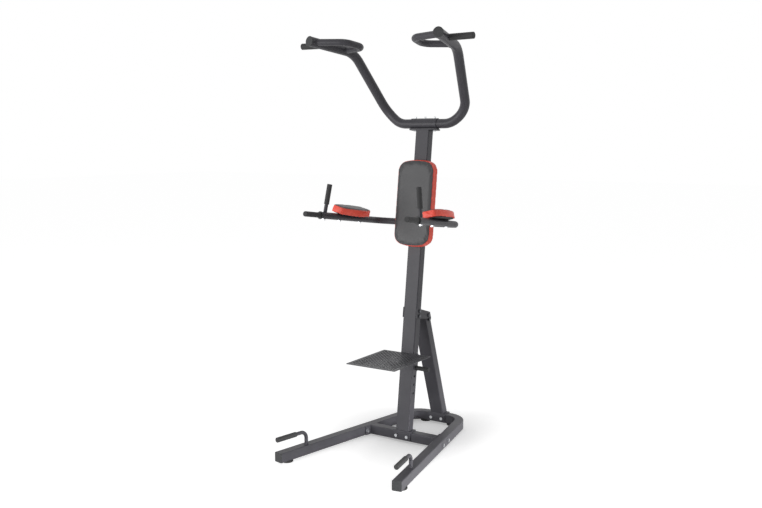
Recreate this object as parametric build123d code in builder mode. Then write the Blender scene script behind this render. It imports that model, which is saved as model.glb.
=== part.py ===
"""A power tower: pull-up bar, dip arms, backrest, step and push-up handles on a splayed U base.

Frame: X to the right, Y to the rear, Z up, in millimetres. The origin is on the floor, under the middle of
the tower's length. The column leans back, so everything that it carries is placed in the column's own plane.
"""

import os
from math import cos, radians, sin, tan

from build123d import *

os.makedirs("parts", exist_ok=True)

# ---------------------------------------------------------------- driving dimensions
# base
base_front_y = -524.0  # outer front corners of the rails
base_length = 1047.0  # from there to the rear face of the rear run
base_front_width = 744.0  # over the outer front corners
rail_splay = 10.7  # degrees, each rail
base_tube = 50.0
base_wall = 2.0
base_corner = 4.0  # corner radius of the square tube
base_bend = 105.0  # centreline radius of the two rear bends
cross_member_y = 638.0  # its centreline, behind the front corners
flange_length = 116.0
flange_thickness = 4.0
flange_bolt_spacing = 88.0
cap_thickness = 4.0
cap_insert_length = 18.0

# levelling feet
foot_pad_diameter = 58.0
foot_pad_height = 10.0
foot_stud_diameter = 10.0
foot_stud_length = 34.0
foot_front_setback = 58.0  # behind the rail's front end, along the rail
foot_rear_x = 85.0

# column and brace
post_width = 80.0
post_depth = 50.0
post_wall = 2.5
post_corner = 5.0
column_lean = 7.13  # degrees, back
column_length = 1611.0
bracket_width = 108.0
bracket_plate = 5.0
bracket_drop = 46.0  # how far the flanges reach down the tube
bracket_bolt_spacing = 66.0
brace_top_height = 640.0  # where the brace's axis ends, along the column from its foot
brace_top_back = 87.0  # and behind the column's middle plane
brace_cap = 3.0
cheek_thickness = 4.0
cheek_rise = 20.0  # top front corner of the cheeks above the brace's top
cheek_fall = 17.0  # top rear corner below it, along the brace
cheek_front_edge = 56.0
cheek_rear_edge = 44.0
cheek_margin = 4.0  # from the cheeks' top edge to the brace's cut end
cheek_bolt_spacing = 26.0

# pull-up bar, heights along the column from its foot
bar_diameter = 50.0
bar_wall = 2.5
bar_shoulder_x = 155.0
bar_elbow_x = 243.0
bar_elbow_rise = 66.0
bar_crook_x = 307.0
bar_crook_reach = 267.5  # ahead of the seat
bar_rise = 338.0  # from the seat to the forward runs
bar_tip_x = 369.0
bar_tip_reach = 575.0
bar_bends = [110.0, 130.0, 140.0]
clamp_length = 158.0
clamp_wall = 3.5
cradle_plate_length = 175.0
cradle_plate_width = 54.0
cradle_plate = 6.0
bar_bolt_spacing = 58.0
bar_bolt_end = 9.0  # a bolt stands this far out of the cap
loop_tube = 34.0
loop_wall = 2.0
loop_front_reach = 546.0  # where the loop's front branch leaves the bar
loop_length = 212.0  # from there back to its rear branch
loop_front_set = 42.0  # the inner corners' shift from the branches, along the tower
loop_rear_set = 40.0
loop_front_x = 194.0  # x of the two inner corners
loop_rear_x = 173.0
loop_bend = 52.0
side_grip_tube = 25.0
side_grip_sleeve = 32.0
side_grip_reach = 466.0
side_grip_end_x = 498.0
side_grip_length = 128.0
side_grip_rise = 2.0

# dip arms
arm_tube = 35.0
arm_wall = 2.0
arm_height = 1116.0  # along the column
arm_rear_x = 247.0  # where the arm's bend would meet the column's middle plane
arm_front_x = 285.0
arm_front_reach = 499.0
arm_bend = 80.0
arm_flange_height = 92.0
arm_flange_depth = 44.0
arm_flange_thickness = 5.0
arm_bolt_spacing = 66.0
front_grip_tube = 22.0
front_grip_sleeve = 27.0
front_grip_length = 114.0
collar_diameter = 40.0
collar_thickness = 6.0
post_tube = 19.0
post_sleeve = 26.0
grip_post_length = 140.0
grip_post_sleeve_length = 103.0
grip_post_setback = 31.0  # behind the arm's front end
grip_post_inward = 7.6  # degrees
handle_wall = 2.0

# armrests
armrest_length = 244.0
armrest_width = 112.0
armrest_end_width = 72.0
armrest_board = 6.0
armrest_board_inset = 9.0
armrest_cushion = 36.0
armrest_corner = 16.0
armrest_roll = 14.0  # degrees, tops tilt inwards
armrest_setback = 243.0  # its middle, behind the arm's front end
armrest_offset = 5.0  # outwards from the arm
armrest_bolt_spacing = 170.0

# backrest
backrest_width = 230.0
backrest_height = 470.0
backrest_below_arm = 134.0  # its lower edge, along the column
backrest_board = 8.0
backrest_board_inset = 14.0
backrest_cushion = 38.0
backrest_corner = 62.0
backrest_crown = 22.0  # rise of the top and bottom arcs
backrest_bolt_spacing = 340.0

# step
step_width = 292.0
step_depth = 366.0
step_height = 480.0  # top of the plate above the floor
step_sheet = 3.0
step_rim = 9.0
step_columns = 11
step_rows = 15
step_web = 6.5  # metal left between two openings
step_drop = 79.0  # from the plate's top to the cross pin
step_hole_pitch = 46.0
step_spare_holes = 3
step_pin_diameter = 12.0
step_peg_diameter = 24.0
step_peg_length = 82.0
step_carrier_sheet = 4.0
step_rib_spacing = 190.0
step_rib_length = 300.0
step_rib_height = 26.0

# push-up handles
handle_tube = 19.0
handle_sleeve = 26.0
handle_setback = 178.0  # behind the rail's front corner
handle_height = 67.0  # axis of the grip above the rail
handle_length = 196.0
handle_bend = 36.0
handle_sleeve_length = 124.0

# fasteners and fits
bolt_diameter = 10.0
bolt_head_across = 16.0
bolt_head_height = 6.4
nut_height = 8.0
washer_diameter = 20.0
washer_thickness = 1.6
hole_clearance = 0.3  # around a bolt
tube_clearance = 0.3  # between curved faces
insert_clearance = 0.2  # plug in a tube
carrier_clearance = 0.1  # step bracket on the column
stud_clearance = 0.05  # levelling stud in its nut
hole_radius = bolt_diameter / 2 + hole_clearance
plug_flange = 4.0
plug_lip = 1.0  # a plug stands proud of its tube
plug_insert = 14.0

# ---------------------------------------------------------------- places worked out from them
splay_tan = tan(radians(rail_splay))
splay_cos = cos(radians(rail_splay))
rail_front_x = base_front_width / 2 - base_tube / 2 / splay_cos
rear_run_y = base_front_y + base_length - base_tube / 2
rail_floor = foot_pad_height
rail_mid = rail_floor + base_tube / 2
rail_top = rail_floor + base_tube


def rail_x(y):
    """X of the right rail's centreline at a Y of the model."""
    return rail_front_x - (y - base_front_y) * splay_tan


rail_end_y = base_front_y - base_tube / 2 * sin(radians(rail_splay))
rail_end = Vector(rail_x(rail_end_y), rail_end_y, rail_mid)
rail_back = Vector(-sin(radians(rail_splay)), cos(radians(rail_splay)), 0)
rail_corner = Vector(rail_x(rear_run_y), rear_run_y, rail_mid)
cross_y = base_front_y + cross_member_y
column_plane = Plane(
    origin=(0, cross_y, rail_top + bracket_plate),
    x_dir=(1, 0, 0),
    z_dir=(0, sin(radians(column_lean)), cos(radians(column_lean))),
)
brace_foot = Vector(0, rear_run_y, rail_top + bracket_plate)
brace_top = column_plane.from_local_coords((0, brace_top_back, brace_top_height))
brace_plane = Plane(origin=brace_foot, x_dir=(1, 0, 0), z_dir=brace_top - brace_foot)
brace_length = (brace_top - brace_foot).length


def on_column(x, back, up):
    """A point given across, behind and along the column."""
    return column_plane.from_local_coords((x, back, up))


def column_dir(x, back, up):
    """A direction given in the column's frame."""
    return (on_column(x, back, up) - on_column(0, 0, 0)).normalized()


def save(piece, name):
    """Labels a finished piece and writes its STEP file."""
    piece.part.label = name
    export_step(piece.part, f"parts/{name}.step")


def bent_tube(points, radii, diameter, wall):
    """A round tube along straight runs joined by tangent arcs."""
    with BuildPart() as tube:
        with BuildLine() as path:
            if radii:
                FilletPolyline(*points, radius=radii)
            else:
                Line(*points)
        with BuildSketch(Plane(origin=path.line @ 0, z_dir=path.line % 0)):
            Circle(diameter / 2)
            Circle(diameter / 2 - wall, mode=Mode.SUBTRACT)
        sweep()
    return tube


def rod(start, end, radius):
    """A solid round bar between two points, used as a piece or as a cutter."""
    start = Vector(start)
    run = Vector(end) - start
    with BuildPart() as bar:
        with BuildSketch(Plane(origin=start, z_dir=run)):
            Circle(radius)
        extrude(amount=run.length)
    return bar.part


def sleeve(start, end, inner, outer, closed=0.0):
    """A grip: a tube with a rounded outer edge, closed at its far end where closed is a thickness."""
    start = Vector(start)
    run = Vector(end) - start
    with BuildPart() as grip:
        with BuildSketch(Plane(origin=start, z_dir=run)):
            Circle(outer / 2)
        extrude(amount=run.length)
        fillet(grip.faces().sort_by(Axis(start, run))[-1].edges(), (outer - inner) / 2 * 0.8)
        with BuildSketch(Plane(origin=start, z_dir=run)):
            Circle(inner / 2)
        extrude(amount=run.length - closed, mode=Mode.SUBTRACT)
    return grip


def hex_bolt(start, direction, length):
    """Hex head behind the start point, shank along the direction."""
    seat = Plane(origin=start, z_dir=direction)
    with BuildPart() as bolt:
        with BuildSketch(seat):
            Circle(bolt_diameter / 2)
        extrude(amount=length)
        chamfer(bolt.faces().sort_by(Axis(start, direction))[-1].edges(), 1)
        with BuildSketch(seat):
            RegularPolygon(bolt_head_across / 2, 6, major_radius=False)
        extrude(amount=-bolt_head_height)
    return bolt.part


def hex_nut(start, direction, bore_clearance=0.1):
    """Washer and nut as one solid, with its seat at the start point."""
    seat = Plane(origin=start, z_dir=direction)
    with BuildPart() as nut:
        with BuildSketch(seat):
            Circle(washer_diameter / 2)
        extrude(amount=washer_thickness)
        with BuildSketch(seat.offset(washer_thickness)):
            RegularPolygon(bolt_head_across / 2, 6, major_radius=False)
        extrude(amount=nut_height)
        with BuildSketch(seat):
            Circle(bolt_diameter / 2 + bore_clearance)
        extrude(amount=nut_height + washer_thickness, mode=Mode.SUBTRACT)
    return nut.part


def group(solids):
    """Separate solids that share one node."""
    with BuildPart() as pieces:
        add(solids)
    return pieces


def bolted(name, stations, direction, grip_length, spare=3.0):
    """Writes the bolts through a stack of the given length as a node and returns their nuts."""
    direction = Vector(direction).normalized()
    shank = grip_length + washer_thickness + nut_height + spare
    save(group([hex_bolt(s, direction, shank) for s in stations]), f"{name}_bolts")
    return [hex_nut(s + direction * grip_length, direction) for s in stations]


def bolt_holes(stations, direction, depth):
    """Cutters for bolts that pass through a piece."""
    direction = Vector(direction).normalized()
    return [rod(s - direction * depth, s + direction * depth, hole_radius) for s in stations]


def tube_plug(mouth, direction, diameter, wall):
    """A round plastic plug: a domed flange on the tube's mouth and a skirt inside it."""
    with BuildPart() as plug:
        with BuildSketch(Plane(origin=mouth, z_dir=direction)):
            Circle(diameter / 2 + plug_lip)
        extrude(amount=plug_flange)
        fillet(plug.faces().sort_by(Axis(mouth, direction))[-1].edges(), plug_flange * 0.7)
        with BuildSketch(Plane(origin=mouth, z_dir=direction)):
            Circle(diameter / 2 - wall - insert_clearance)
        extrude(amount=-plug_insert)
    return plug.part


sides = (("left", -1), ("right", 1))


def mirrored(point, side):
    """The same point on the left (-1) or the right (1)."""
    return Vector(side * point.X, point.Y, point.Z)


# ---------------------------------------------------------------- base frame
foot_stations = []
for side in (-1, 1):
    foot_stations.append(mirrored(rail_end + rail_back * foot_front_setback, side))
rear_bend_x = rail_corner.X - base_bend * tan(radians((90 - rail_splay) / 2))
rear_bow = base_bend - (base_bend**2 - (foot_rear_x - rear_bend_x) ** 2) ** 0.5
for side in (-1, 1):
    foot_stations.append(Vector(side * foot_rear_x, rear_run_y - rear_bow, rail_mid))
foot_names = ["front_left_foot", "front_right_foot", "rear_left_foot", "rear_right_foot"]

flange_centres = {}
rail_bolt_stations = {}
for name, side in sides:
    inward = Vector(-side * splay_cos, -sin(radians(rail_splay)), 0)
    flange_centres[name] = Vector(side * rail_x(cross_y), cross_y, rail_mid) + inward * (base_tube / 2)
    outer_face = flange_centres[name] - inward * base_tube
    rail_bolt_stations[name] = [
        outer_face + mirrored(rail_back, side) * (s * flange_bolt_spacing / 2) for s in (-1, 1)
    ]

bracket_bolt_x = [-bracket_bolt_spacing / 2, bracket_bolt_spacing / 2]
front_bracket_stations = [Vector(x, cross_y - base_tube / 2 - bracket_plate, rail_mid) for x in bracket_bolt_x]
rear_bracket_stations = [Vector(x, rear_run_y - base_tube / 2 - bracket_plate, rail_mid) for x in bracket_bolt_x]

with BuildPart() as base_frame:
    with BuildLine() as base_path:
        FilletPolyline(
            mirrored(rail_end, -1),
            mirrored(rail_corner, -1),
            rail_corner,
            rail_end,
            radius=base_bend,
        )
    with BuildSketch(Plane(origin=base_path.line @ 0, x_dir=(0, 0, 1), z_dir=base_path.line % 0)):
        RectangleRounded(base_tube, base_tube, base_corner)
        RectangleRounded(
            base_tube - 2 * base_wall, base_tube - 2 * base_wall, base_corner - base_wall, mode=Mode.SUBTRACT
        )
    sweep()
    for name, side in sides:
        outward = Vector(side * splay_cos, sin(radians(rail_splay)), 0)
        add(bolt_holes(rail_bolt_stations[name], outward, base_tube + 2), mode=Mode.SUBTRACT)
    add(bolt_holes(rear_bracket_stations, (0, 1, 0), base_tube + 12), mode=Mode.SUBTRACT)
    for station in foot_stations:
        low = Vector(station.X, station.Y, rail_floor - 1)
        add(rod(low, low + Vector(0, 0, base_wall + 2), foot_stud_diameter / 2 + hole_clearance), mode=Mode.SUBTRACT)
save(base_frame, "base_frame")

cross_half = abs(flange_centres["right"].X)

with BuildPart() as cross_member:
    with BuildSketch(Plane(origin=(0, cross_y, rail_mid), x_dir=(0, 1, 0), z_dir=(1, 0, 0))):
        RectangleRounded(base_tube, base_tube, base_corner)
        RectangleRounded(
            base_tube - 2 * base_wall, base_tube - 2 * base_wall, base_corner - base_wall, mode=Mode.SUBTRACT
        )
    extrude(amount=cross_half + base_tube, both=True)
    for name, side in sides:
        inward = Vector(-side * splay_cos, -sin(radians(rail_splay)), 0)
        wall_face = Plane(origin=flange_centres[name] + inward * flange_thickness, x_dir=(0, 0, 1), z_dir=-inward)
        with BuildSketch(wall_face):
            Rectangle(3 * base_tube, 6 * base_tube)
        extrude(amount=4 * base_tube, mode=Mode.SUBTRACT)
        with BuildSketch(wall_face):
            RectangleRounded(base_tube, flange_length, base_corner)
        extrude(amount=flange_thickness)
        add(bolt_holes(rail_bolt_stations[name], inward, 2 * base_tube), mode=Mode.SUBTRACT)
    add(bolt_holes(front_bracket_stations, (0, 1, 0), base_tube + 12), mode=Mode.SUBTRACT)
save(cross_member, "cross_member")

rail_bolts = []
hex_nuts = []
rail_grip = base_tube + flange_thickness
for name, side in sides:
    inward = Vector(-side * splay_cos, -sin(radians(rail_splay)), 0)
    for station in rail_bolt_stations[name]:
        rail_bolts.append(hex_bolt(station, inward, rail_grip + washer_thickness + nut_height + 3))
        hex_nuts.append(hex_nut(station + inward * rail_grip, inward))
save(group(rail_bolts), "rail_bolts")

caps = []
for side in (-1, 1):
    mouth = mirrored(rail_end, side)
    forward = mirrored(rail_back, side) * -1
    with BuildPart() as cap:
        with BuildSketch(Plane(origin=mouth, x_dir=(0, 0, 1), z_dir=forward)):
            RectangleRounded(base_tube, base_tube, base_corner)
        extrude(amount=cap_thickness)
        chamfer(cap.faces().sort_by(Axis(mouth, forward))[-1].edges(), 1.2)
        with BuildSketch(Plane(origin=mouth, x_dir=(0, 0, 1), z_dir=forward)):
            inner = base_tube - 2 * base_wall - 2 * insert_clearance
            RectangleRounded(inner, inner, base_corner - base_wall)
            Rectangle(inner - 6, inner - 6, mode=Mode.SUBTRACT)
        extrude(amount=-cap_insert_length)
    caps.append(cap.part)
save(group(caps), "rail_caps")

# ---------------------------------------------------------------- levelling feet
weld_nuts = []
for name, station in zip(foot_names, foot_stations):
    ground = Vector(station.X, station.Y, 0)
    with BuildPart() as foot:
        with BuildSketch(Plane(origin=ground)):
            Circle(foot_pad_diameter / 2)
        extrude(amount=foot_pad_height)
        chamfer(foot.faces().sort_by(Axis.Z)[0].edges(), 2)
        with BuildSketch(Plane(origin=ground + Vector(0, 0, foot_pad_height))):
            Circle(foot_stud_diameter / 2)
        extrude(amount=foot_stud_length)
    save(foot, name)
    seat = Plane(origin=Vector(station.X, station.Y, rail_floor + base_wall), z_dir=(0, 0, 1))
    with BuildPart() as foot_nut:
        with BuildSketch(seat):
            RegularPolygon(bolt_head_across / 2, 6, major_radius=False)
            Circle(foot_stud_diameter / 2 + stud_clearance, mode=Mode.SUBTRACT)
        extrude(amount=nut_height)
    weld_nuts.append(foot_nut.part)
save(group(weld_nuts), "foot_nuts")


# ---------------------------------------------------------------- saddle brackets
def saddle_bracket(centre_y, stations):
    """A channel that sits over a base tube, with its flanges bolted through it."""
    with BuildPart() as bracket:
        with BuildSketch(Plane(origin=(0, centre_y, rail_top), x_dir=(0, 1, 0), z_dir=(1, 0, 0))):
            with BuildLine():
                half = base_tube / 2
                Polyline(
                    (-half - bracket_plate, -bracket_drop),
                    (-half - bracket_plate, bracket_plate),
                    (half + bracket_plate, bracket_plate),
                    (half + bracket_plate, -bracket_drop),
                    (half, -bracket_drop),
                    (half, 0),
                    (-half, 0),
                    (-half, -bracket_drop),
                    close=True,
                )
            make_face()
        extrude(amount=bracket_width / 2, both=True)
        outer = bracket.edges().filter_by(Axis.X).group_by(Axis.Z)[-1]
        fillet(outer, bracket_plate * 0.7)
        add(bolt_holes(stations, (0, 1, 0), base_tube + 20), mode=Mode.SUBTRACT)
    return bracket


save(saddle_bracket(cross_y, front_bracket_stations), "column_foot_bracket")
save(saddle_bracket(rear_run_y, rear_bracket_stations), "brace_foot_bracket")
bracket_stations = front_bracket_stations + rear_bracket_stations
hex_nuts += bolted("bracket", bracket_stations, (0, 1, 0), base_tube + 2 * bracket_plate)

# ---------------------------------------------------------------- column
step_pin_up = (step_height - step_drop - column_plane.origin.Z) / cos(radians(column_lean))
step_pin_stations = [on_column(0, 0, step_pin_up - i * step_hole_pitch) for i in range(step_spare_holes + 1)]
arm_bolt_stations = [on_column(0, 0, arm_height + s * arm_bolt_spacing / 2) for s in (-1, 1)]
backrest_middle = arm_height - backrest_below_arm + backrest_height / 2
backrest_bolt_stations = [
    on_column(0, post_depth / 2, backrest_middle + s * backrest_bolt_spacing / 2) for s in (-1, 1)
]
cradle_top = column_length + cradle_plate
clamp_inner = bar_diameter / 2 + tube_clearance
clamp_outer = clamp_inner + clamp_wall
bar_seat_height = cradle_top + clamp_outer
cheek_mid = brace_top_height + cheek_rise - cheek_front_edge / 2
column_cheek_stations = [on_column(0, 0, cheek_mid - 2 + s * cheek_bolt_spacing / 2) for s in (-1, 1)]


def hollow_post(plane, length, start=0.0):
    """A rectangular tube along a plane's normal."""
    with BuildPart() as post:
        with BuildSketch(plane.offset(start)):
            RectangleRounded(post_width, post_depth, post_corner)
            RectangleRounded(
                post_width - 2 * post_wall, post_depth - 2 * post_wall, post_corner - post_wall, mode=Mode.SUBTRACT
            )
        extrude(amount=length - start)
    return post


def floor_cut(height):
    """Everything below a height, to cut a leaning tube level."""
    with BuildPart() as block:
        with BuildSketch(Plane.XY.offset(height)):
            Rectangle(2000, 3000)
        extrude(amount=-400)
    return block.part


column_up = column_dir(0, 0, 1)
column_back = column_dir(0, 1, 0)
across = Vector(1, 0, 0)
with BuildPart() as column:
    add(hollow_post(column_plane, column_length, -30).part)
    add(floor_cut(rail_top + bracket_plate), mode=Mode.SUBTRACT)
    pin_hole = step_pin_diameter / 2 + hole_clearance
    add([rod(s - across * 60, s + across * 60, pin_hole) for s in step_pin_stations], mode=Mode.SUBTRACT)
    add(bolt_holes(arm_bolt_stations + column_cheek_stations, across, post_width), mode=Mode.SUBTRACT)
    add(bolt_holes(backrest_bolt_stations, column_back, post_width), mode=Mode.SUBTRACT)
save(column, "column")

# ---------------------------------------------------------------- rear brace and its cheeks
brace_cheek_mid = brace_length - cheek_fall - cheek_rear_edge / 2
brace_cheek_stations = [
    brace_plane.from_local_coords((0, 2, brace_cheek_mid + s * cheek_bolt_spacing / 2)) for s in (-1, 1)
]
column_rear = Plane(origin=on_column(0, post_depth / 2 + 1, 0), z_dir=-column_back)
cheek_corners = [
    on_column(0, -post_depth / 2, brace_top_height + cheek_rise),
    on_column(0, -post_depth / 2, brace_top_height + cheek_rise - cheek_front_edge),
    brace_plane.from_local_coords((0, post_depth / 2, brace_length - cheek_fall - cheek_rear_edge)),
    brace_plane.from_local_coords((0, post_depth / 2, brace_length - cheek_fall)),
]
cheek_slope = (cheek_corners[3] - cheek_corners[0]).normalized()
cut_up = across.cross(cheek_slope)
brace_cut = Plane(origin=cheek_corners[3] - cut_up * (cheek_margin + brace_cap), x_dir=(1, 0, 0), z_dir=cut_up)


def above(plane):
    """Everything over a cutting plane."""
    with BuildPart() as block:
        with BuildSketch(plane):
            Rectangle(3000, 3000)
        extrude(amount=400)
    return block.part


with BuildPart() as rear_brace:
    add(hollow_post(brace_plane, brace_length + 20, -30).part)
    add(floor_cut(rail_top + bracket_plate), mode=Mode.SUBTRACT)
    add(above(brace_cut), mode=Mode.SUBTRACT)
    add(above(column_rear), mode=Mode.SUBTRACT)
    add(bolt_holes(brace_cheek_stations, across, post_width), mode=Mode.SUBTRACT)
save(rear_brace, "rear_brace")

with BuildPart() as brace_top_cap:
    with BuildSketch(brace_plane.offset(brace_length - 90)):
        RectangleRounded(post_width, post_depth, post_corner)
    extrude(amount=130)
    add(above(brace_cut.offset(brace_cap)), mode=Mode.SUBTRACT)
    add(above(brace_cut.rotated((180, 0, 0))), mode=Mode.SUBTRACT)
    add(above(column_rear), mode=Mode.SUBTRACT)
save(brace_top_cap, "brace_top_cap")

cheeks = []
for side in (-1, 1):
    with BuildPart() as cheek:
        with BuildSketch(Plane(origin=(side * post_width / 2, 0, 0), x_dir=(0, 1, 0), z_dir=(1, 0, 0))):
            with BuildLine():
                Polyline(*[(corner.Y, corner.Z) for corner in cheek_corners], close=True)
            make_face()
        extrude(amount=side * cheek_thickness)
        fillet(cheek.edges().filter_by(Axis.X), 3)
        add(bolt_holes(column_cheek_stations + brace_cheek_stations, across, post_width), mode=Mode.SUBTRACT)
    cheeks.append(cheek.part)
save(group(cheeks), "brace_cheeks")
cheek_face = post_width / 2 + cheek_thickness
cheek_heads = [s + across * cheek_face for s in column_cheek_stations + brace_cheek_stations]
save(group(bolted("cheek", cheek_heads, -across, 2 * cheek_face)), "cheek_nuts")

# ---------------------------------------------------------------- pull-up bar and its clamp
run_height = bar_seat_height + bar_rise
bar_half = [
    on_column(bar_shoulder_x, 0, bar_seat_height),
    on_column(bar_elbow_x, 0, bar_seat_height + bar_elbow_rise),
    on_column(bar_crook_x, -bar_crook_reach, run_height),
    on_column(bar_tip_x, -bar_tip_reach, run_height),
]
bar_points = [mirrored(p, -1) for p in reversed(bar_half)] + bar_half
bar_bolt_stations = [on_column(s * bar_bolt_spacing, 0, bar_seat_height) for s in (-1, 0, 1)]
bar_column_bolts = bolt_holes(bar_bolt_stations, column_up, bar_diameter + 20)
with BuildPart() as pull_up_bar:
    add(bent_tube(bar_points, bar_bends[::-1] + bar_bends, bar_diameter, bar_wall).part)
    add(bar_column_bolts, mode=Mode.SUBTRACT)
save(pull_up_bar, "pull_up_bar")

clamp_split = 0.8
seat_section = Plane(origin=on_column(0, 0, bar_seat_height), x_dir=column_back, z_dir=(1, 0, 0))
for name, way in (("bar_clamp_cap", 1), ("bar_cradle", -1)):
    with BuildPart() as shell:
        with BuildSketch(seat_section):
            Circle(clamp_outer)
            Circle(clamp_inner, mode=Mode.SUBTRACT)
            with Locations((0, -way * (clamp_outer - clamp_split))):
                Rectangle(3 * clamp_outer, 2 * clamp_outer, mode=Mode.SUBTRACT)
        extrude(amount=clamp_length / 2, both=True)
        if name == "bar_cradle":
            with BuildSketch(column_plane.offset(cradle_top)):
                RectangleRounded(cradle_plate_length, cradle_plate_width, cradle_plate_width / 2 - 8)
            extrude(amount=-cradle_plate)
            with BuildSketch(column_plane.offset(cradle_top)):
                Rectangle(clamp_length, clamp_outer)
            extrude(amount=clamp_wall)
            with BuildSketch(seat_section):
                Circle(clamp_inner)
            extrude(amount=clamp_length, both=True, mode=Mode.SUBTRACT)
        add(bar_column_bolts, mode=Mode.SUBTRACT)
    save(shell, name)

bar_bolt_seats = [s - column_up * (bar_seat_height - column_length) for s in bar_bolt_stations]
bar_bolt_shank = bar_seat_height - column_length + clamp_outer + bar_bolt_end
save(group([hex_bolt(s, column_up, bar_bolt_shank) for s in bar_bolt_seats]), "bar_bolts")

# ---------------------------------------------------------------- loops and side grips on the bar
tip_slope = (bar_tip_x - bar_crook_x) / (bar_tip_reach - bar_crook_reach)


def run_x(reach):
    """X of the forward run's centreline at a reach ahead of the seat."""
    return bar_crook_x + (reach - bar_crook_reach) * tip_slope


loop_rear_reach = loop_front_reach - loop_length
tip_plugs = []
for name, side in sides:
    run_start = mirrored(on_column(run_x(300), -300, run_height), side)
    run_end = mirrored(on_column(bar_tip_x, -bar_tip_reach, run_height), side)
    forward = (run_end - run_start).normalized()
    cope = rod(run_start, run_end + forward * 40, bar_diameter / 2 + tube_clearance)
    loop_points = [
        mirrored(on_column(x, -reach, run_height), side)
        for x, reach in (
            (run_x(loop_front_reach), loop_front_reach),
            (loop_front_x, loop_front_reach - loop_front_set),
            (loop_rear_x, loop_rear_reach + loop_rear_set),
            (run_x(loop_rear_reach), loop_rear_reach),
        )
    ]
    with BuildPart() as loop:
        add(bent_tube(loop_points, [loop_bend, loop_bend], loop_tube, loop_wall).part)
        add(cope, mode=Mode.SUBTRACT)
    save(loop, f"{name}_loop_handle")
    side_root = mirrored(on_column(run_x(side_grip_reach), -side_grip_reach, run_height), side)
    side_end = mirrored(on_column(side_grip_end_x - 4, -side_grip_reach, run_height + side_grip_rise), side)
    side_way = (side_end - side_root).normalized()
    with BuildPart() as side_tube:
        add(bent_tube([side_root, side_end], None, side_grip_tube, handle_wall).part)
        add(cope, mode=Mode.SUBTRACT)
    save(side_tube, f"{name}_side_handle")
    grip_far = side_end + side_way * 4
    grip_near = grip_far - side_way * side_grip_length
    bore = side_grip_tube + 2 * tube_clearance
    with BuildPart() as side_grip:
        add(sleeve(grip_near, grip_far, bore, side_grip_sleeve, closed=3.7).part)
        add(rod(run_start, run_end, bar_diameter / 2 + 1.5), mode=Mode.SUBTRACT)
    save(side_grip, f"{name}_side_grip")
    tip_plugs.append(tube_plug(run_end, forward, bar_diameter, bar_wall))
save(group(tip_plugs), "bar_end_plugs")

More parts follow.
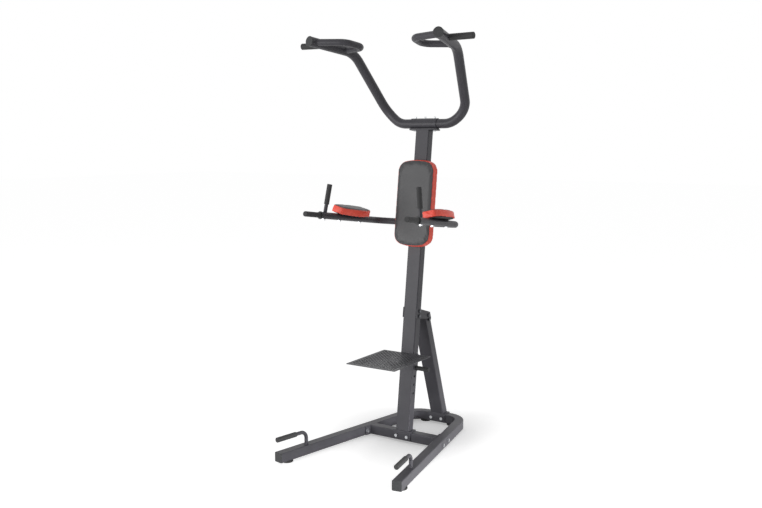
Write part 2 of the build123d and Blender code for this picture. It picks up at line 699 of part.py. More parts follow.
# ---------------------------------------------------------------- dip arms
arm_splay_tan = (arm_front_x - arm_rear_x) / arm_front_reach
plug_list = []
collars = []
post_bolts = []
armrest_bolts = []
for name, side in sides:
    arm_root = mirrored(on_column(post_width / 2 + arm_flange_thickness, 0, arm_height), side)
    arm_corner = mirrored(on_column(arm_rear_x, 0, arm_height), side)
    arm_front = mirrored(on_column(arm_front_x, -arm_front_reach, arm_height), side)
    arm_way = (arm_front - arm_corner).normalized()
    outward = Vector(side, 0, 0)
    arm_side = (outward - arm_way * outward.dot(arm_way)).normalized()

    post_seat = arm_front - arm_way * grip_post_setback
    roll = radians(grip_post_inward)
    post_way = (column_up * cos(roll) - arm_side * sin(roll)).normalized()
    rest_roll = radians(armrest_roll)
    rest_up = (column_up * cos(rest_roll) - arm_side * sin(rest_roll)).normalized()
    rest_middle = arm_front - arm_way * armrest_setback
    rest_side = rest_up.cross(arm_way)
    rest_centre = rest_middle + rest_side * (armrest_offset * (1 if rest_side.dot(outward) > 0 else -1))
    rest_bolt_seats = [rest_middle + arm_way * (s * armrest_bolt_spacing / 2) for s in (-1, 1)]

    with BuildPart() as arm:
        add(bent_tube([arm_root, arm_corner, arm_front], [arm_bend], arm_tube, arm_wall).part)
        with BuildSketch(Plane(origin=arm_root - outward * arm_flange_thickness, x_dir=column_back, z_dir=outward)):
            RectangleRounded(arm_flange_depth, arm_flange_height, 8)
        extrude(amount=arm_flange_thickness)
        add(bolt_holes(arm_bolt_stations, across, 2 * post_width), mode=Mode.SUBTRACT)
        add(bolt_holes([post_seat], post_way, arm_tube), mode=Mode.SUBTRACT)
        add(bolt_holes(rest_bolt_seats, rest_up, arm_tube), mode=Mode.SUBTRACT)
    save(arm, f"{name}_dip_arm")

    insert_radius = arm_tube / 2 - arm_wall - insert_clearance
    grip_tip = arm_front + arm_way * (front_grip_length + collar_thickness)
    with BuildPart() as front_handle:
        with BuildSketch(Plane(origin=arm_front, z_dir=-arm_way)):
            Circle(insert_radius)
            Circle(front_grip_tube / 2 - handle_wall, mode=Mode.SUBTRACT)
        extrude(amount=22)
        with BuildSketch(Plane(origin=arm_front, z_dir=arm_way)):
            Circle(front_grip_tube / 2)
            Circle(front_grip_tube / 2 - handle_wall, mode=Mode.SUBTRACT)
        extrude(amount=front_grip_length + collar_thickness - 4)
    save(front_handle, f"{name}_front_handle")
    with BuildPart() as collar:
        with BuildSketch(Plane(origin=arm_front, z_dir=arm_way)):
            Circle(collar_diameter / 2)
            Circle(front_grip_tube / 2 + tube_clearance, mode=Mode.SUBTRACT)
        extrude(amount=collar_thickness)
        fillet(collar.edges().group_by(SortBy.LENGTH)[-1], 2)
    collars.append(collar.part)
    grip_start = arm_front + arm_way * collar_thickness
    save(
        sleeve(grip_start, grip_tip, front_grip_tube + 2 * tube_clearance, front_grip_sleeve, closed=3.7),
        f"{name}_front_grip",
    )

    post_top = post_seat + post_way * (arm_tube / 2 + grip_post_length)
    with BuildPart() as grip_post:
        add(bent_tube([post_seat, post_top], None, post_tube, handle_wall).part)
        with BuildSketch(Plane(origin=post_seat, z_dir=post_way)):
            Circle(post_tube / 2)
            Circle(bolt_diameter / 2 + 0.1, mode=Mode.SUBTRACT)
        extrude(amount=arm_tube / 2 + 24)
        add(rod(arm_front + arm_way * 20, arm_front - arm_way * 90, arm_tube / 2 + tube_clearance), mode=Mode.SUBTRACT)
    save(grip_post, f"{name}_grip_post")
    sleeve_top = post_top + post_way * 4
    sleeve_foot = sleeve_top - post_way * grip_post_sleeve_length
    save(
        sleeve(sleeve_foot, sleeve_top, post_tube + 2 * tube_clearance, post_sleeve, closed=3.7),
        f"{name}_post_grip",
    )
    bolt_seat = post_seat - post_way * (arm_tube / 2 + 0.2)
    post_bolts.append(hex_bolt(bolt_seat, post_way, arm_tube + 16))

    rest_plane = Plane(origin=rest_centre + rest_up * (arm_tube / 2 + tube_clearance), x_dir=arm_way, z_dir=rest_up)
    half_length = armrest_length / 2
    half_end = armrest_end_width / 2
    half_width = armrest_width / 2
    for piece, low, thick in (
        ("armrest_board", 0, armrest_board),
        ("armrest_cushion", armrest_board, armrest_cushion),
    ):
        shrink = armrest_board_inset if piece == "armrest_board" else 0.0
        with BuildPart() as rest:
            with BuildSketch(rest_plane.offset(low)):
                with BuildLine():
                    ThreePointArc(
                        (-half_length + shrink, half_end - shrink),
                        (0, half_width - shrink),
                        (half_length - shrink, half_end - shrink),
                    )
                    Line((half_length - shrink, half_end - shrink), (half_length - shrink, -half_end + shrink))
                    ThreePointArc(
                        (half_length - shrink, -half_end + shrink),
                        (0, -half_width + shrink),
                        (-half_length + shrink, -half_end + shrink),
                    )
                    Line((-half_length + shrink, -half_end + shrink), (-half_length + shrink, half_end - shrink))
                make_face()
            extrude(amount=thick)
            corners = rest.edges().filter_by(lambda e: abs((e % 0.5).dot(rest_up)) > 0.99)
            fillet(corners, armrest_corner - shrink / 2)
            if piece == "armrest_board":
                add(bolt_holes(rest_bolt_seats, rest_up, 2 * arm_tube), mode=Mode.SUBTRACT)
            else:
                fillet(rest.faces().sort_by(Axis(rest_plane.origin, rest_up))[-1].edges(), 5)
        save(rest, f"{name}_{piece}")
    for seat in rest_bolt_seats:
        armrest_bolts.append(
            hex_bolt(
                seat - rest_up * (arm_tube / 2 + 0.2),
                rest_up,
                arm_tube + tube_clearance + armrest_board - 1,
            )
        )

save(group(collars), "front_grip_collars")
save(group(post_bolts), "grip_post_bolts")
save(group(armrest_bolts), "armrest_bolts")
flange_face = post_width / 2 + arm_flange_thickness
hex_nuts += bolted("dip_arm", [s + across * flange_face for s in arm_bolt_stations], -across, 2 * flange_face)
save(group(hex_nuts), "hex_nuts")

# ---------------------------------------------------------------- backrest
backrest_seat = Plane(
    origin=on_column(0, -post_depth / 2, backrest_middle), x_dir=(1, 0, 0), z_dir=-column_back
)
for name, low, thick, shrink in (
    ("backrest_board", 0, backrest_board, backrest_board_inset),
    ("backrest_cushion", backrest_board, backrest_cushion, 0.0),
):
    half_width = backrest_width / 2 - shrink
    half_height = backrest_height / 2 - shrink
    shoulder = half_height - backrest_crown
    with BuildPart() as backrest:
        with BuildSketch(backrest_seat.offset(low)):
            with BuildLine():
                ThreePointArc((-half_width, shoulder), (0, half_height), (half_width, shoulder))
                Line((half_width, shoulder), (half_width, -shoulder))
                ThreePointArc((half_width, -shoulder), (0, -half_height), (-half_width, -shoulder))
                Line((-half_width, -shoulder), (-half_width, shoulder))
            make_face()
        extrude(amount=thick)
        corners = backrest.edges().filter_by(lambda e: abs((e % 0.5).dot(column_back)) > 0.99)
        fillet(corners, backrest_corner - shrink / 2)
        if name == "backrest_board":
            add(bolt_holes(backrest_bolt_stations, column_back, 2 * post_depth), mode=Mode.SUBTRACT)
        else:
            fillet(backrest.faces().sort_by(Axis(backrest_seat.origin, -column_back))[-1].edges(), 6)
    save(backrest, name)
backrest_bolts = [hex_bolt(s, -column_back, post_depth + backrest_board - 1) for s in backrest_bolt_stations]
save(group(backrest_bolts), "backrest_bolts")

# ---------------------------------------------------------------- step
plate_rear = on_column(0, -post_depth / 2, (step_height - column_plane.origin.Z) / cos(radians(column_lean))).Y - 1
plate_front = plate_rear - step_depth
plate_middle = (plate_front + plate_rear) / 2
cell_x = (step_width - 2 * step_rim) / step_columns
cell_y = (step_depth - 2 * step_rim) / step_rows
wide = (cell_x - step_web) / 2
deep = (cell_y - step_web) / 2
with BuildPart() as step_plate:
    with BuildSketch(Plane(origin=(0, plate_middle, step_height - step_sheet))):
        RectangleRounded(step_width, step_depth, 6)
        for shift in (0, 0.5):
            columns = step_columns if shift == 0 else step_columns - 1
            rows = step_rows if shift == 0 else step_rows - 1
            with GridLocations(cell_x, cell_y, columns, rows):
                Polygon((-wide, 0), (0, -deep), (wide, 0), (0, deep), mode=Mode.SUBTRACT)
    extrude(amount=step_sheet)
save(step_plate, "step_plate")

carrier_foot = step_pin_up - 20
carrier_head = step_pin_up + step_drop - step_sheet - 2
carrier_bore_x = post_width + 2 * carrier_clearance
carrier_bore_y = post_depth + 2 * carrier_clearance
pin_station = step_pin_stations[0]
with BuildPart() as step_carrier:
    with BuildSketch(column_plane.offset(carrier_foot)):
        Rectangle(carrier_bore_x + 2 * step_carrier_sheet, carrier_bore_y + 2 * step_carrier_sheet)
        with Locations((0, post_depth / 2 + step_carrier_sheet)):
            Rectangle(2 * post_width, 2 * step_carrier_sheet + 8, mode=Mode.SUBTRACT)
    extrude(amount=carrier_head - carrier_foot)
    with BuildSketch(Plane.XY.offset(step_height - step_sheet)):
        Rectangle(2000, 3000)
    extrude(amount=100, mode=Mode.SUBTRACT)
    for side in (-1, 1):
        with BuildSketch(Plane(origin=(side * step_rib_spacing / 2, 0, 0), x_dir=(0, 1, 0), z_dir=(1, 0, 0))):
            with BuildLine():
                top = step_height - step_sheet
                Polyline(
                    (plate_rear, top),
                    (plate_rear, top - step_rib_height),
                    (plate_rear - step_rib_length, top - 8),
                    (plate_rear - step_rib_length, top),
                    close=True,
                )
            make_face()
        extrude(amount=step_carrier_sheet / 2, both=True)
    with BuildSketch(Plane(origin=(0, plate_rear, step_height - step_sheet), x_dir=(1, 0, 0), z_dir=(0, -1, 0))):
        with Locations((0, -step_rib_height / 2)):
            Rectangle(step_rib_spacing + step_carrier_sheet, step_rib_height)
    extrude(amount=step_carrier_sheet)
    with BuildSketch(column_plane.offset(carrier_foot)):
        Rectangle(carrier_bore_x, carrier_bore_y)
    extrude(amount=2 * step_drop, mode=Mode.SUBTRACT)
    add(
        rod(pin_station - across * 60, pin_station + across * 60, step_pin_diameter / 2 + hole_clearance),
        mode=Mode.SUBTRACT,
    )
save(step_carrier, "step_carrier")

peg_root = post_width / 2 + carrier_clearance + step_carrier_sheet
peg_end = peg_root + step_peg_length
save(
    group([rod(pin_station - across * (peg_end - 4), pin_station + across * (peg_end - 4), step_pin_diameter / 2)]),
    "step_cross_pin",
)
pegs = []
for side in (-1, 1):
    near = pin_station + across * (side * peg_root)
    far = pin_station + across * (side * peg_end)
    pegs.append(sleeve(near, far, step_pin_diameter + 2 * tube_clearance, step_peg_diameter, closed=3.7).part)
save(group(pegs), "step_pegs")

# ---------------------------------------------------------------- push-up handles
for name, side in sides:
    forward = mirrored(rail_back, side) * -1
    foot_y = base_front_y + handle_setback
    handle_foot = Vector(side * rail_x(foot_y), foot_y, rail_top)
    handle_bend_point = handle_foot + Vector(0, 0, handle_height)
    handle_end = handle_bend_point + forward * (handle_length - 4)
    save(
        bent_tube([handle_foot, handle_bend_point, handle_end], [handle_bend], handle_tube, handle_wall),
        f"{name}_push_up_handle",
    )
    grip_end = handle_end + forward * 4
    save(
        sleeve(
            grip_end - forward * handle_sleeve_length,
            grip_end,
            handle_tube + 2 * tube_clearance,
            handle_sleeve,
            closed=3.7,
        ),
        f"{name}_push_up_grip",
    )
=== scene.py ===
# %% [markdown]
# # Power tower: looks around the CAD frame
# The tower is a tree of steel tubes with padded rests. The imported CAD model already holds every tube,
# bolt and plate at its real place, so this lesson dresses it: each finish is built from shader nodes, the
# cushions are blown up as cloth, and small shop details such as weld beads are modelled on top.

import math

import bpy
import numpy as np
from mathutils import Matrix, Vector


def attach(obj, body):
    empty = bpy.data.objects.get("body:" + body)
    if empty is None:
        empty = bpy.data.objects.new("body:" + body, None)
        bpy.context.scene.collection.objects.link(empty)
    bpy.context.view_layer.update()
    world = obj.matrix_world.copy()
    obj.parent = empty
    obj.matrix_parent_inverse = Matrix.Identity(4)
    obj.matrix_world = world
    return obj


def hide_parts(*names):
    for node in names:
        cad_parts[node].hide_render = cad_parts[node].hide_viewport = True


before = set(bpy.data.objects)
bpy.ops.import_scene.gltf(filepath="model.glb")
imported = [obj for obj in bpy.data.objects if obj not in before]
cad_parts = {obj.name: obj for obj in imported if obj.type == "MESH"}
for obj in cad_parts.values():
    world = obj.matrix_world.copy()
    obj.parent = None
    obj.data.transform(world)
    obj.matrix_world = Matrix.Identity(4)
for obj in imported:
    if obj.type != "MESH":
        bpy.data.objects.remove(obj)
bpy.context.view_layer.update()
bpy.ops.object.select_all(action="DESELECT")
MM = 0.001
print("nodes in the frame:", len(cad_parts))

# %% [markdown]
# ## Camera
# A product shot is taken from a little above chest height and well off to one side, so that the front of
# the backrest and the outside of one rail both show. A camera that is turned and never shifted keeps its
# perspective in every other view.

# %% Camera
camera_data = bpy.data.cameras.new("tower_camera")
camera_data.sensor_width = 36.0
camera_data.lens = 42.75
camera_data.clip_end = 100.0
camera = bpy.data.objects.new("tower_camera", camera_data)
bpy.context.scene.collection.objects.link(camera)
camera.location = (2.433, -3.935, 1.618)
camera.rotation_euler = (math.radians(90 - 7.25), 0.0, math.radians(32.53))
bpy.context.scene.camera = camera
bpy.context.scene.view_settings.view_transform = "Standard"
print("camera at", tuple(round(v, 3) for v in camera.location))

# %% [markdown]
# ## A helper for shader nodes
# Every finish below is a small graph. One function adds a node, applies its settings and makes its links,
# so a graph reads from top to bottom like a recipe. Colours are written as sRGB hex, as a designer picks
# them, and turned to the linear values that a renderer works in.


# %% Node and colour helpers
def linear(hex_code):
    """Turns an sRGB hex colour into linear RGBA."""
    channels = [int(hex_code[i : i + 2], 16) / 255 for i in (1, 3, 5)]
    return [c / 12.92 if c <= 0.04045 else ((c + 0.055) / 1.055) ** 2.4 for c in channels] + [1.0]


def add_node(tree, kind, inputs=None, **settings):
    """Adds one node, sets it up, and fills each input with a value or a link."""
    node = tree.nodes.new(kind)
    for name, value in settings.items():
        setattr(node, name, value)
    for name, value in (inputs or {}).items():
        if isinstance(value, bpy.types.NodeSocket):
            tree.links.new(value, node.inputs[name])
        else:
            node.inputs[name].default_value = value
    return node


def new_finish(name):
    """An empty material with its shader and output, and the object coordinates that patterns read."""
    finish = bpy.data.materials.new(name)
    finish.use_nodes = True
    tree = finish.node_tree
    tree.nodes.clear()
    shader = add_node(tree, "ShaderNodeBsdfPrincipled")
    add_node(tree, "ShaderNodeOutputMaterial", {"Surface": shader.outputs[0]})
    place = add_node(tree, "ShaderNodeTexCoord").outputs["Object"]
    return finish, tree, shader, place


def dress(finish, *names):
    """Gives CAD nodes a finish through their own material slots."""
    for name in names:
        for material_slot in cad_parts[name].material_slots:
            material_slot.material = finish
    print(finish.name, "on", len(names), "nodes")


# %% [markdown]
# ## Powder coat
# The tubes are welded steel, sprayed with charcoal polyester powder and baked. The powder melts into a
# satin skin with a very fine orange peel. The peel is about 1.5 mm across, so a noise of that size drives
# the bump, and a slow noise of a hand's width shifts the tone a little, as real coating thickness does.
# The step's mesh gets the same coat painted a shade lighter, a painted highlight that keeps its thin bars
# from sinking into the dark below.


# %% Powder-coated steel
PEEL = 1.5 * MM
DRIFTS_PER_METRE = 9.0


def powder_coat(name, light, dark, roughness):
    """Satin powder coat that drifts between two tones."""
    finish, tree, shader, place = new_finish(name)
    drift = add_node(tree, "ShaderNodeTexNoise", {"Vector": place, "Scale": DRIFTS_PER_METRE, "Detail": 3.0})
    grain = add_node(tree, "ShaderNodeTexNoise", {"Vector": place, "Scale": 1 / PEEL, "Detail": 2.0})
    tone = add_node(tree, "ShaderNodeValToRGB", {"Fac": drift.outputs["Fac"]})
    tone.color_ramp.elements[0].position = 0.35
    tone.color_ramp.elements[0].color = linear(dark)
    tone.color_ramp.elements[1].position = 0.65
    tone.color_ramp.elements[1].color = linear(light)
    gloss = add_node(
        tree,
        "ShaderNodeMapRange",
        {"Value": grain.outputs["Fac"], "To Min": roughness - 0.05, "To Max": roughness + 0.07},
    )
    peel_bump = add_node(
        tree, "ShaderNodeBump", {"Height": grain.outputs["Fac"], "Strength": 0.25, "Distance": 0.1 * MM}
    )
    tree.links.new(tone.outputs["Color"], shader.inputs["Base Color"])
    tree.links.new(gloss.outputs["Result"], shader.inputs["Roughness"])
    tree.links.new(peel_bump.outputs["Normal"], shader.inputs["Normal"])
    shader.inputs["IOR"].default_value = 1.35
    return finish


charcoal_coat = powder_coat("charcoal_powder_coat", "#444348", "#3e3d42", 0.42)
# painted highlight: the step's copy of the coat is a shade lighter than the real paint
step_coat_painted_lighter = powder_coat("step_powder_coat_painted_lighter", "#58585b", "#4e4e51", 0.42)
TUBES = [
    "base_frame", "cross_member", "column", "column_foot_bracket", "rear_brace", "brace_foot_bracket",
    "brace_cheeks", "bar_cradle", "bar_clamp_cap", "pull_up_bar", "step_carrier",
]
HANDED_TUBES = [
    "loop_handle", "side_handle", "dip_arm", "grip_post", "front_handle", "push_up_handle",
]
dress(charcoal_coat, *TUBES, *[f"{side}_{part}" for side in ("left", "right") for part in HANDED_TUBES])
dress(step_coat_painted_lighter, "step_plate")

# %% [markdown]
# ## Plated fasteners
# Most bolts, the nuts and the step's pin are bright zinc over steel. The bolts through the brace's cheeks
# are blackened instead, so that they hide on the dark plates. Both are bare metal, whose colour sits in
# the reflection: metallic is 1 and the index of refraction stays as it is. A cloudy noise a few
# millimetres across tints the plating, and one of about a millimetre scratches it, as tumbling in the
# plating barrel does.


# %% Plated steel
SCRATCHES_PER_METRE = 900.0
CLOUDS_PER_METRE = 160.0


def plated(name, light, dark, smoothest, roughest):
    """Thin plating on steel, cloudy in tint and finely scratched."""
    finish, tree, shader, place = new_finish(name)
    scratches = add_node(
        tree, "ShaderNodeTexNoise", {"Vector": place, "Scale": SCRATCHES_PER_METRE, "Detail": 3.0}
    )
    cloud = add_node(tree, "ShaderNodeTexNoise", {"Vector": place, "Scale": CLOUDS_PER_METRE, "Detail": 2.0})
    sheen = add_node(
        tree,
        "ShaderNodeMapRange",
        {"Value": scratches.outputs["Fac"], "To Min": smoothest, "To Max": roughest},
    )
    tint = add_node(tree, "ShaderNodeValToRGB", {"Fac": cloud.outputs["Fac"]})
    tint.color_ramp.elements[0].color = linear(dark)
    tint.color_ramp.elements[1].color = linear(light)
    scratch_bump = add_node(
        tree, "ShaderNodeBump", {"Height": scratches.outputs["Fac"], "Strength": 0.2, "Distance": 0.05 * MM}
    )
    tree.links.new(tint.outputs["Color"], shader.inputs["Base Color"])
    tree.links.new(sheen.outputs["Result"], shader.inputs["Roughness"])
    tree.links.new(scratch_bump.outputs["Normal"], shader.inputs["Normal"])
    shader.inputs["Metallic"].default_value = 1.0
    return finish


zinc = plated("zinc_plated_steel", "#d9dadc", "#b9bcc0", 0.18, 0.36)
black_oxide = plated("black_oxide_steel", "#646569", "#535458", 0.3, 0.45)
BRIGHT = [
    "rail_bolts", "bracket_bolts", "bar_bolts", "dip_arm_bolts", "hex_nuts", "backrest_bolts",
    "armrest_bolts", "grip_post_bolts", "step_cross_pin", "foot_nuts",
]
dress(zinc, *BRIGHT)
dress(black_oxide, "cheek_bolts", "cheek_nuts")

# %% [markdown]
# ## Moulded plastic and rubber
# End plugs and collars are injection-moulded polypropylene with a spark-eroded grain. Grips are dipped
# rubber foam, softer and duller, with tiny open cells. Feet are hard rubber. All three are the same graph
# with another colour, cell size and gloss, so one function makes them.


# %% Moulded finishes
SPOTS_PER_METRE = 45.0


def moulded(name, light, dark, roughness, cell, depth):
    """Plastic or rubber with a skin of small cells."""
    finish, tree, shader, place = new_finish(name)
    cells = add_node(tree, "ShaderNodeTexVoronoi", {"Vector": place, "Scale": 1 / cell})
    wear = add_node(tree, "ShaderNodeTexNoise", {"Vector": place, "Scale": SPOTS_PER_METRE, "Detail": 4.0})
    tone = add_node(tree, "ShaderNodeValToRGB", {"Fac": wear.outputs["Fac"]})
    tone.color_ramp.elements[0].position = 0.3
    tone.color_ramp.elements[0].color = linear(dark)
    tone.color_ramp.elements[1].position = 0.7
    tone.color_ramp.elements[1].color = linear(light)
    gloss = add_node(
        tree,
        "ShaderNodeMapRange",
        {"Value": wear.outputs["Fac"], "To Min": roughness - 0.06, "To Max": roughness + 0.06},
    )
    grain = add_node(
        tree, "ShaderNodeBump", {"Height": cells.outputs["Distance"], "Strength": 0.4, "Distance": depth}
    )
    tree.links.new(tone.outputs["Color"], shader.inputs["Base Color"])
    tree.links.new(gloss.outputs["Result"], shader.inputs["Roughness"])
    tree.links.new(grain.outputs["Normal"], shader.inputs["Normal"])
    shader.inputs["IOR"].default_value = 1.49
    return finish


black_plastic = moulded("moulded_black_polypropylene", "#2e2f31", "#262729", 0.5, 0.9 * MM, 0.15 * MM)
grip_foam = moulded("grip_rubber_foam", "#333334", "#2b2b2c", 0.72, 1.4 * MM, 0.3 * MM)
foot_rubber = moulded("foot_rubber", "#2b2b2b", "#222222", 0.8, 2.0 * MM, 0.2 * MM)
dress(black_plastic, "rail_caps", "bar_end_plugs", "brace_top_cap", "front_grip_collars")
HANDED_GRIPS = ["side_grip", "front_grip", "post_grip", "push_up_grip"]
dress(grip_foam, "step_pegs", *[f"{side}_{part}" for side in ("left", "right") for part in HANDED_GRIPS])
FEET = ["front_left_foot", "front_right_foot", "rear_left_foot", "rear_right_foot"]
dress(foot_rubber, *FEET)

# %% [markdown]
# ## Painted board
# Under each cushion is a plywood board, sprayed matt black. The grain of the face veneer still lifts the
# paint, so a noise that is stretched along the grain makes shallow furrows about 3 mm apart.

# %% Painted plywood
FURROWS_PER_METRE = 330.0
FURROW_WAVES_PER_METRE = 20.0
grain_scale = (FURROWS_PER_METRE, FURROWS_PER_METRE, FURROW_WAVES_PER_METRE)
board_paint, tree, shader, place = new_finish("black_painted_plywood")
along_grain = add_node(tree, "ShaderNodeMapping", {"Vector": place, "Scale": grain_scale})
furrows = add_node(
    tree, "ShaderNodeTexNoise", {"Vector": along_grain.outputs["Vector"], "Scale": 1.0, "Detail": 4.0}
)
paint_tone = add_node(tree, "ShaderNodeValToRGB", {"Fac": furrows.outputs["Fac"]})
paint_tone.color_ramp.elements[0].color = linear("#19191a")
paint_tone.color_ramp.elements[1].color = linear("#272728")
grain_bump = add_node(
    tree, "ShaderNodeBump", {"Height": furrows.outputs["Fac"], "Strength": 0.5, "Distance": 0.2 * MM}
)
tree.links.new(paint_tone.outputs["Color"], shader.inputs["Base Color"])
tree.links.new(grain_bump.outputs["Normal"], shader.inputs["Normal"])
shader.inputs["Roughness"].default_value = 0.62
dress(board_paint, "left_armrest_board", "right_armrest_board", "backrest_board")

# %% [markdown]
# ## Cushion covers
# Each rest is foam under a sewn vinyl cover: a charcoal panel on the face, and a red-orange boxing strip
# round the edge. The two meet at a seam on the rounded rim. The colour change is a hard line at one
# height above the board, so each cushion stores how many millimetres a point lies above that line, and
# the shader reads the sign. A second attribute counts millimetres round the rim, which spaces the stitches.

# %% Vinyl cover
STITCH_PITCH = 4.0
STITCH_LENGTH = 0.62
STITCH_FROM_SEAM = 2.6
THREAD_RADIUS = 0.42
PEBBLE = 1.6 * MM
MOTTLES_PER_METRE = 14.0
vinyl, tree, shader, place = new_finish("sewn_vinyl_cover")
rise = add_node(tree, "ShaderNodeAttribute", attribute_name="rise_from_seam").outputs["Fac"]
round_rim = add_node(tree, "ShaderNodeAttribute", attribute_name="round_rim").outputs["Fac"]
pebble = add_node(tree, "ShaderNodeTexVoronoi", {"Vector": place, "Scale": 1 / PEBBLE})
mottle = add_node(tree, "ShaderNodeTexNoise", {"Vector": place, "Scale": MOTTLES_PER_METRE, "Detail": 4.0})
face_tone = add_node(tree, "ShaderNodeValToRGB", {"Fac": mottle.outputs["Fac"]})
face_tone.color_ramp.elements[0].position = 0.3
face_tone.color_ramp.elements[0].color = linear("#353537")
face_tone.color_ramp.elements[1].position = 0.7
face_tone.color_ramp.elements[1].color = linear("#3b3b3d")
strip_tone = add_node(tree, "ShaderNodeValToRGB", {"Fac": mottle.outputs["Fac"]})
strip_tone.color_ramp.elements[0].position = 0.3
strip_tone.color_ramp.elements[0].color = linear("#fb5240")
strip_tone.color_ramp.elements[1].position = 0.7
strip_tone.color_ramp.elements[1].color = linear("#ff6350")
above_seam = add_node(tree, "ShaderNodeMath", {0: rise, 1: 0.0}, operation="GREATER_THAN")
cover = add_node(
    tree,
    "ShaderNodeMix",
    {"Factor": above_seam.outputs[0], 6: strip_tone.outputs["Color"], 7: face_tone.outputs["Color"]},
    data_type="RGBA",
)
off_seam = add_node(tree, "ShaderNodeMath", {0: rise}, operation="ABSOLUTE")
thread_line = add_node(
    tree,
    "ShaderNodeMath",
    {0: off_seam.outputs[0], 1: STITCH_FROM_SEAM, 2: THREAD_RADIUS},
    operation="COMPARE",
)
paces = add_node(tree, "ShaderNodeMath", {0: round_rim, 1: STITCH_PITCH}, operation="DIVIDE")
phase = add_node(tree, "ShaderNodeMath", {0: paces.outputs[0]}, operation="FRACT")
on_thread = add_node(tree, "ShaderNodeMath", {0: phase.outputs[0], 1: STITCH_LENGTH}, operation="LESS_THAN")
thread = add_node(
    tree, "ShaderNodeMath", {0: thread_line.outputs[0], 1: on_thread.outputs[0]}, operation="MULTIPLY"
)
stitched = add_node(
    tree,
    "ShaderNodeMix",
    {"Factor": thread.outputs[0], 6: cover.outputs[2], 7: linear("#2a2a2c")},
    data_type="RGBA",
)
relief = add_node(
    tree, "ShaderNodeMath", {0: pebble.outputs["Distance"], 1: thread.outputs[0]}, operation="ADD"
)
pebble_bump = add_node(
    tree, "ShaderNodeBump", {"Height": relief.outputs[0], "Strength": 0.35, "Distance": 0.25 * MM}
)
sheen = add_node(tree, "ShaderNodeMapRange", {"Value": mottle.outputs["Fac"], "To Min": 0.4, "To Max": 0.54})
tree.links.new(stitched.outputs[2], shader.inputs["Base Color"])
tree.links.new(sheen.outputs["Result"], shader.inputs["Roughness"])
tree.links.new(pebble_bump.outputs["Normal"], shader.inputs["Normal"])
print(vinyl.name, "nodes", len(tree.nodes))

# %% [markdown]
# ## Blowing up the cushions
# A foam pad in a tight cover swells between its seams. Cloth simulation gives that for free: the plain
# CAD pad is drawn in a little, remeshed into even quads, and inflated with the face that lies on its
# board pinned. How far a point may move is capped, so the pad stays firm and inside its real size.


# %% Helpers for meshes
def copy_of_node(name, new_name):
    """A separate object with its own merged copy of a CAD node's mesh."""
    copy = bpy.data.objects.new(new_name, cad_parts[name].data.copy())
    copy.data.materials.clear()
    bpy.context.scene.collection.objects.link(copy)
    bpy.ops.object.select_all(action="DESELECT")
    bpy.context.view_layer.objects.active = copy
    copy.select_set(True)
    bpy.ops.object.mode_set(mode="EDIT")
    bpy.ops.mesh.select_all(action="SELECT")
    bpy.ops.mesh.remove_doubles(threshold=0.01 * MM)
    bpy.ops.object.mode_set(mode="OBJECT")
    return copy


def coordinates(mesh):
    """Every vertex of a mesh as rows of x, y, z."""
    flat = np.empty(len(mesh.vertices) * 3, np.float32)
    mesh.vertices.foreach_get("co", flat)
    return flat.reshape(-1, 3).astype(float)


def store(mesh, key, values):
    """Saves one number per vertex under a name that the shader reads."""
    attribute = mesh.attributes.new(key, "FLOAT", "POINT")
    attribute.data.foreach_set("value", np.asarray(values, np.float32))


def apply_modifier(piece, name, kind, **settings):
    """Adds a modifier with its settings and applies it at once."""
    modifier = piece.modifiers.new(name, kind)
    for key, value in settings.items():
        setattr(modifier, key, value)
    bpy.ops.object.modifier_apply(modifier=modifier.name)


# %% Cloth that swells
SETTLING_FRAMES = 20
PRESSURE = 4.0
PINNED_BAND = 2.5 * MM


def board_normal(mesh, towards):
    """The direction that a pad's two big faces look, on the side that faces the user."""
    areas = {}
    for face in mesh.polygons:
        key = tuple(round(c, 2) for c in face.normal)
        areas[key] = areas.get(key, 0.0) + face.area
    best = Vector(max(areas, key=areas.get)).normalized()
    exact = Vector()
    for face in mesh.polygons:
        if abs(face.normal.dot(best)) > 0.999:
            exact += face.normal * face.area * math.copysign(1, face.normal.dot(best))
    exact.normalize()
    return exact if exact.dot(towards) > 0 else -exact


def inflate(piece, normal, low, cap):
    """Lets the cloth settle and keeps each point within the cap of where it began."""
    start = coordinates(piece.data)
    lying = (start @ np.array(normal)) < low + PINNED_BAND
    pins = piece.vertex_groups.new(name="on_board")
    pins.add([int(i) for i in np.flatnonzero(lying)], 1.0, "REPLACE")
    cloth = piece.modifiers.new("cover", "CLOTH")
    cloth.settings.use_pressure = True
    cloth.settings.uniform_pressure_force = PRESSURE
    cloth.settings.vertex_group_mass = "on_board"
    cloth.settings.effector_weights.gravity = 0.0
    cloth.settings.quality = 5
    scene = bpy.context.scene
    for number in range(1, SETTLING_FRAMES + 1):
        scene.frame_set(number)
    bpy.ops.object.modifier_apply(modifier=cloth.name)
    scene.frame_set(1)
    moved = coordinates(piece.data) - start
    reach = np.linalg.norm(moved, axis=1)
    moved *= np.minimum(1.0, cap / np.maximum(reach, 1e-9))[:, None]
    piece.data.vertices.foreach_set("co", (start + moved).astype(np.float32).ravel())
    piece.data.update()


# %% [markdown]
# ## Seam and wrapped rim
# Thread pulls the cover in along its seam, and the cover's lower edge is stretched over the rim of the
# board and stapled behind it. Both are small moves of the settled points. To know how near a point is to
# the rim, the pad is cut like a cake into sectors, and each sector remembers its furthest point.


# %% Rim helpers
SECTORS = 240
SEAM_DEPTH = 0.9 * MM
CREASE_WIDTH = 1.6
RIM_BAND = 3 * MM


